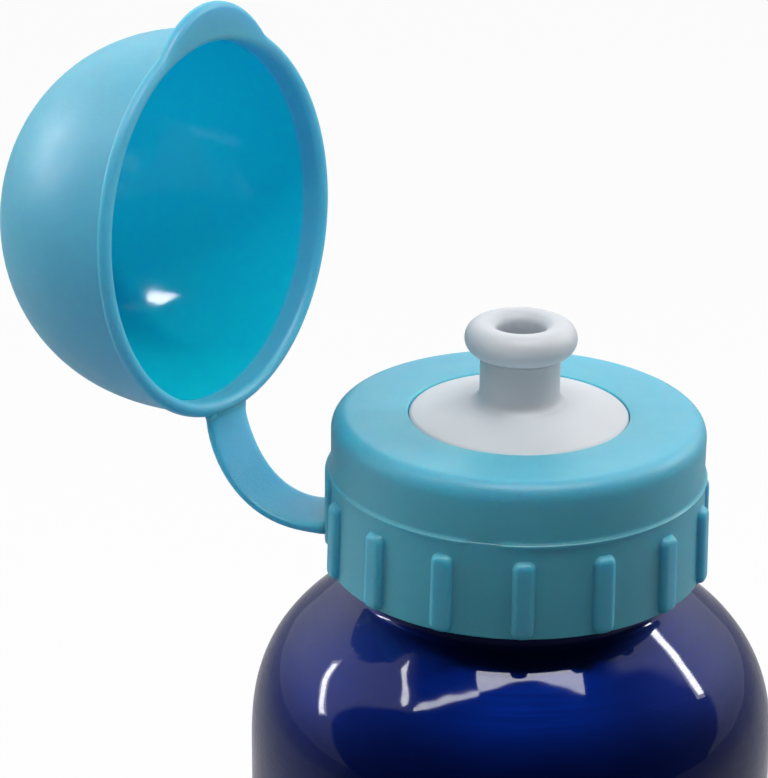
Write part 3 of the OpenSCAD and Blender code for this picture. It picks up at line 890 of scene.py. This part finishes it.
def dome_angles():
    """Angles round the dome, close together across the tab and where the strap joins."""
    tab_half, strap_half = 0.5, 0.24
    return apart(np.concatenate([even_angles(240), np.linspace(-tab_half, tab_half, 61),
                                 np.pi + np.linspace(-strap_half, strap_half, 61)]), 1e-3)


def lip_radius():
    """The largest radius of the dome's lip."""
    return group("cap").wall_r + group("dome").lip_reach


def rim_height():
    """Height of the closed dome's rim: its half-round edge rests, but for the seat gap, on the
    quarter round of the cap's edge, so the two centres are both radii and the gap apart."""
    s, cap = group("dome"), group("cap")
    round_r = (s.lip_out + s.wall) / 2
    apart = cap.edge_r + round_r + s.seat_gap
    aside = lip_radius() - round_r - cap.wall_r + cap.edge_r
    return levels("screw_cap")[1] - cap.edge_r + math.sqrt(apart ** 2 - aside ** 2) - round_r


def tab_reach(s, lip_r, angles):
    """How far the thumb tab stands out past the lip: the distance p to a circle of radius tab_r
    whose outermost point is tab_out past the lip, with a soft corner where the two meet, by
    (p + sqrt(p^2 + soft^2)) / 2."""
    away = np.angle(np.exp(1j * angles))
    middle = lip_r + s.tab_out - s.tab_r
    tab_side, well_inside, soft = 1, -3 * MM, 0.5 * MM
    half_chord = np.sqrt(np.maximum(s.tab_r ** 2 - (middle * np.sin(away)) ** 2, 0))
    reach = middle * np.cos(away) + half_chord
    past = np.where(np.abs(away) < tab_side, reach, 0) - lip_r
    return np.where(past > well_inside, (past + np.sqrt(past ** 2 + soft ** 2)) / 2, 0)


class SPOUTBOTTLE_OT_dome(bpy.types.Operator):
    """Make the dome cover with its rounded rim and thumb tab"""
    bl_idname = "spout_bottle.dome"
    bl_label = "Dome cover"

    def execute(self, context):
        s = group("dome")
        lip_r = lip_radius()
        wall_r = lip_r - s.lip_out
        in_r = wall_r - s.wall
        round_r = (lip_r - in_r) / 2
        lip_h = round_r + s.lip_band + s.lip_out
        curve = s.height - lip_h
        t = np.sin(np.linspace(np.pi / 2, 0, 60))
        outside = np.stack([wall_r * np.sqrt(np.maximum(1 - t ** s.power, 0)), lip_h + curve * t], 1)
        inside = np.stack([in_r * np.sqrt(np.maximum(1 - t[::-1] ** s.power, 0)),
                           lip_h + (curve - s.wall) * t[::-1]], 1)
        bead = arc((wall_r, lip_h - s.lip_out), s.lip_out, 90, 0, 8)
        rim = arc((lip_r - round_r, round_r), round_r, 0, -180, 28)
        path = join(outside[:-1], bead, rim, inside)
        path[0, 0] = path[-1, 0] = 0
        angles = dome_angles()
        height = path[:, 1:]
        row = np.arange(len(path))[:, None]
        rim_middle = len(outside) - 1 + len(bead) + len(rim) // 2
        tab = tab_reach(s, lip_r, angles) * np.clip(1 - (height - s.tab_t) / s.tab_fade, 0, 1) ** 2
        out = np.where(row < rim_middle, tab, 0)
        grid = dome_opened(lathe_grid(path, angles, out) + [0, 0, rim_height()])
        # The inside is marked polished; there the material paints a fuller, brighter colour, painted
        # light for the light that comes through the wall.
        dome = mesh_piece("dome_cover_skin", grid, sharp=55,
                          marks={"polished_and_painted_light": row > len(path) - len(inside) + 2})
        finished(dome, "dome", "turquoise_plastic", turquoise(), "dome_cover")
        return {"FINISHED"}


class SPOUTBOTTLE_OT_strap(bpy.types.Operator):
    """Make the flexible strap between the cap and the dome"""
    bl_idname = "spout_bottle.strap"
    bl_label = "Strap"

    def execute(self, context):
        """A flat outline (cos^0.22, sin^0.45) carried along the cubic Bezier curve of the places
        p and rolled about it by 4 roll t (1 - t). It grows wider and thicker towards both ends
        by exponentials of the way t or 1 - t from there."""
        s, cap = group("dome"), group("cap")
        root = np.array([-cap.skirt_r - cap.pad_out - cap.root_out, 0,
                         levels("screw_cap")[1] - cap.bead_drop - cap.pad_h + s.strap_up])
        end_r, end_z = lip_radius(), rim_height() + s.end_up
        end, axis, beside = dome_opened(np.array([[-end_r, 0, end_z], [0, 0, end_z],
                                                  [-end_r, 1, end_z]]))
        arrive = unit(axis - end)
        p = [root, root - [s.strap_reach, 0, 0], end - s.strap_pull * arrive, end]
        t = np.linspace(0, 1, 90)[:, None]
        shares = (1 - t) ** 3, 3 * (1 - t) ** 2 * t, 3 * (1 - t) * t * t, t ** 3
        middle = sum(part * place for part, place in zip(shares, p))
        middle = np.concatenate([middle[:1] + [[s.strap_in, 0, 0]], middle,
                                 middle[-1:] + s.strap_in * arrive])
        t = np.concatenate([t[:1], t, t[-1:]])
        way = unit(np.gradient(middle, axis=0))
        across = (1 - t) * np.array([0, 1, 0]) + t * (beside - end)
        across = unit(across - way * np.sum(across * way, axis=1, keepdims=True))
        roll = -4 * s.strap_roll * t * (1 - t)
        side = across * np.cos(roll) + np.cross(way, across) * np.sin(roll)
        up = np.cross(way, side)
        flare_reach, fillet_reach, thick_reach = 0.12, 0.06, 0.04
        root_thicker, end_thicker = 0.5, 0.1
        half_w = (s.strap_w / 2 + s.root_flare * np.exp(-t / flare_reach)
                  + s.end_flare * np.exp(-(1 - t) / flare_reach)
                  + s.fillet * np.exp(-(1 - t) / fillet_reach))
        half_t = s.strap_t / 2 * (1 + root_thicker * np.exp(-t / thick_reach)
                                  + end_thicker * np.exp(-(1 - t) / thick_reach))
        turn = even_angles(40)[None]
        x, y = soft_power(np.cos(turn), 0.22), soft_power(np.sin(turn), 0.45)
        grid = (middle[:, None] + side[:, None] * (half_w * x)[..., None]
                + up[:, None] * (half_t * y)[..., None])
        strap = mesh_piece("dome_strap_skin", capped(grid), sharp=60)
        strap.data.materials.append(turquoise())
        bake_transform(strap)
        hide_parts("dome_strap")
        return {"FINISHED"}


# ---- stage

class SPOUTBOTTLE_OT_stage(bpy.types.Operator):
    """Make the floor, the lamps, the room light and the camera"""
    bl_idname = "spout_bottle.stage"
    bl_label = "Stage"

    def execute(self, context):
        scene = context.scene
        s = group("stage")
        scene.view_settings.view_transform = "Standard"
        make_floor()
        make_world(s)
        lamps = {
            "top_softbox": ((-0.120, -0.150, 0.700), (0.263, -0.072, 0.665), 0.090, s.top_light),
            "top_shine": ((-0.120, -0.150, 0.701), (0.263, -0.072, 0.666), 0.090, s.top_light * 0.5),
            "right_strip": ((0.513, 0.215, 0.380), (0.387, 0.293, 0.490), 0.036, s.strip_light),
            "right_halo": ((0.530, 0.200, 0.375), (0.382, 0.308, 0.505), 0.055, s.strip_light * 0.2),
            "left_strip": ((-0.594, 0.011, 0.296), (-0.491, 0.196, 0.428), 0.030, s.strip_light),
            "left_halo": ((-0.605, 0.000, 0.292), (-0.495, 0.206, 0.438), 0.052, s.strip_light * 0.2),
            "high_strip": ((-0.350, -0.132, 0.605), (-0.370, -0.010, 0.610), 0.018, s.strip_light),
            "cross_strip": ((-0.322, -0.162, 0.615), (-0.110, -0.196, 0.688), 0.013,
                            s.strip_light * 0.8)}
        # The shine only adds to what glossy surfaces mirror of the softbox.
        for name, place_and_light in lamps.items():
            lamp(name, *place_and_light).visible_diffuse = name != "top_shine"
        cap_top = levels("screw_cap")[1]
        dome_middle = dome_opened(np.array([0, 0, rim_height() + 0.3 * group("dome").height]))
        spout_middle = (0, 0, cap_top + 0.017)
        focused_fill("spout_fill", spout_middle, (0.01, -0.5, 0.123), 0.0225, s.fill_light)
        focused_fill("dome_fill", dome_middle, (0.24, -0.72, -0.05), 0.047, s.fill_light)
        make_camera(scene, s, cap_top)
        return {"FINISHED"}


def make_floor():
    """A large, flat, pale floor whose colour is painted darker in a wedge in front of the bottle,
    where y + wedge |x| is below 0: painted shade for an unlit foreground, pale beside and
    behind. The camera sees it nearly plain white, and half of what a glossy surface mirrors of
    it is a plain dim light."""
    line = np.linspace(-6, 6, 9)
    grid = np.stack(np.meshgrid(line, line, [0], indexing="ij"), 3)[:, :, 0]
    floor = mesh_piece("floor", grid, close_columns=False)
    net = Net(bpy.data.materials.new("pale_floor"))
    shade = group("finish").floor
    wedge, painted_shade_factor, plain_share, mirror_share, mirror_loss = 0.4, 0.25, 0.94, 0.5, 0.85
    where = net.place()
    x, y = net.axes(where, "XY")
    # Painted shade: the floor's colour is darker in a wedge in front of the bottle, where the room is
    # unlit.
    clear_of_painted_shade = net.ranged(y + wedge * net.calculated("ABSOLUTE", x), -0.08, 0.12)
    pale = net.mix(net.noise(where, 3), tinted(shade, 0.98), tinted(shade, 1.02))
    matte = net.add("BsdfDiffuse", {"Color": net.mix(clear_of_painted_shade, tinted(shade, painted_shade_factor), pale)})
    seen, through, mirrored = net.ray("Camera"), net.ray("Transmission"), net.ray("Glossy")
    bright = net.add("Emission", {"Color": (1, 1, 1, 1), "Strength": 1 - mirror_loss * mirrored})
    factor = (seen + through) * plain_share + mirrored * mirror_share
    net.add("OutputMaterial", {"Surface": net.add("MixShader", {0: factor, 1: matte, 2: bright})})
    floor.data.materials.append(net.owner)


def make_world(s):
    """Pale walls beside and behind the bottle, a dark room in front and a dark ceiling: the light
    by direction (x, y, z) is the share of y past the opening's edge, which lies at
    slant x + edge - bend (z - level)^2, times the share below the ceiling, which z reaches at
    0.78 to 0.86, and the walls are brighter up to z = 0.5. Where the camera looks, and through
    clear things, it is white."""
    world = bpy.data.worlds.new("room")
    bpy.context.scene.world = world
    net = Net(world)
    slant, edge, bend, level, blur, low_share = 0.27, 0.2, 1.9, 0.42, 0.04, 0.35
    x, y, z = net.axes(net.add("TexCoord", out="Generated"), "XYZ")
    past = y - x * slant - edge + bend * (z - level) * (z - level)
    wall = net.ranged(past, -blur, blur) * net.ranged(z, 0.78, 0.86, 1, 0)
    room = s.gloom + wall * net.ranged(z, 0, 0.5, low_share * s.walls, s.walls)
    white = net.calculated("MINIMUM", net.ray("Camera") + net.ray("Transmission"), 1)
    light = net.add("Background", {"Color": (1, 1, 1, 1), "Strength": room + white * (1 - room)})
    net.add("OutputWorld", {"Surface": light})


def hidden_light(name, kind, **settings):
    """A light that the camera doesn't see, with those settings."""
    light = bpy.data.lights.new(name, kind)
    for key, setting in settings.items():
        setattr(light, key, setting)
    piece = bpy.data.objects.new(name, light)
    piece.visible_camera = False
    bpy.context.scene.collection.objects.link(piece)
    return piece


def lamp(name, start, end, width, brightness):
    """A rectangular soft lamp whose middle line runs from start to end, turned to the cap. Its
    power is four times its brightness times its area."""
    start, end = Vector(start), Vector(end)
    middle, run = (start + end) / 2, (end - start).length
    along = (end - start).normalized()
    away = middle - Vector((0, 0, 0.14))
    away = (away - along * away.dot(along)).normalized()
    piece = hidden_light(name, "AREA", shape="RECTANGLE", size=run, size_y=width,
                         energy=4 * brightness * run * width)
    axes = zip(along, away.cross(along), away)
    rows = [(*row, place) for row, place in zip(axes, middle)]
    piece.matrix_world = Matrix([*rows, (0, 0, 0, 1)])
    return piece


def focused_fill(name, target, way, reach, light):
    """A soft-edged spotlight, away from its target by way, that fills the reach round it. Its
    power is 4 pi times the light that arrives and times the squared distance."""
    way = Vector(way)
    piece = hidden_light(name, "SPOT", energy=2 * TAU * light * way.length_squared, spot_blend=0.7,
                         spot_size=2 * math.atan(reach / way.length), shadow_soft_size=0.03)
    piece.location = Vector(target) + way
    piece.rotation_euler = way.to_track_quat("Z", "Y").to_euler()
    piece.visible_glossy = False


def plane_turn(i, j, a):
    """The matrix that turns axis i towards axis j by the angle a."""
    turn = np.eye(3)
    turn[i, i] = turn[j, j] = math.cos(a)
    turn[j, i] = math.sin(a)
    turn[i, j] = -turn[j, i]
    return turn


def make_camera(scene, s, top):
    """The camera stands at its distance, elevation and turn about the middle of the cap's top,
    and its view is turned aside, down and rolled from there."""
    turn, lift = s.eye_turn, s.eye_height
    back = np.array([math.sin(turn) * math.cos(lift), -math.cos(turn) * math.cos(lift),
                     math.sin(lift)])
    right = np.array([math.cos(turn), math.sin(turn), 0])
    rows = np.stack([right, np.cross(right, back), -back])
    aimed = plane_turn(1, 2, s.aim_down) @ plane_turn(0, 2, s.aim_side) @ rows
    right, down, forward = plane_turn(0, 1, s.roll) @ aimed
    eye = np.array([0, 0, top]) + back * s.eye_distance
    data = bpy.data.cameras.new("camera")
    data.lens = s.focal
    data.sensor_width = 36
    data.clip_start = 0.01
    camera = bpy.data.objects.new("camera", data)
    scene.collection.objects.link(camera)
    camera.matrix_world = Matrix([*zip(right, -down, -forward, eye), (0, 0, 0, 1)])
    scene.camera = camera


# ---- add-on

OPERATORS = (SPOUTBOTTLE_OT_shell, SPOUTBOTTLE_OT_neck_thread, SPOUTBOTTLE_OT_gasket,
             SPOUTBOTTLE_OT_cap, SPOUTBOTTLE_OT_cap_thread, SPOUTBOTTLE_OT_spout_base,
             SPOUTBOTTLE_OT_spout, SPOUTBOTTLE_OT_dome, SPOUTBOTTLE_OT_strap, SPOUTBOTTLE_OT_stage)


class SPOUTBOTTLE_PT_panel(bpy.types.Panel):
    """Lists the pieces in the order they are made"""
    bl_label = "Spout bottle"
    bl_space_type = "VIEW_3D"
    bl_region_type = "UI"
    bl_category = "Spout bottle"

    def draw(self, context):
        for operator in OPERATORS:
            self.layout.operator(operator.bl_idname)


def register():
    """Registers the classes and puts the property groups on the scene."""
    for cls in (*GROUPS.values(), *OPERATORS, SPOUTBOTTLE_PT_panel):
        bpy.utils.register_class(cls)
    for name, cls in GROUPS.items():
        setattr(bpy.types.Scene, "spout_bottle_" + name, bpy.props.PointerProperty(type=cls))


def unregister():
    """Takes the property groups and the classes away again."""
    for name in GROUPS:
        delattr(bpy.types.Scene, "spout_bottle_" + name)
    for cls in (SPOUTBOTTLE_PT_panel, *OPERATORS[::-1], *GROUPS.values()):
        bpy.utils.unregister_class(cls)


def main():
    """Makes every piece and the stage."""
    register()
    for operator in OPERATORS:
        family, name = operator.bl_idname.split(".")
        getattr(getattr(bpy.ops, family), name)()


if __name__ == "__main__":
    main()
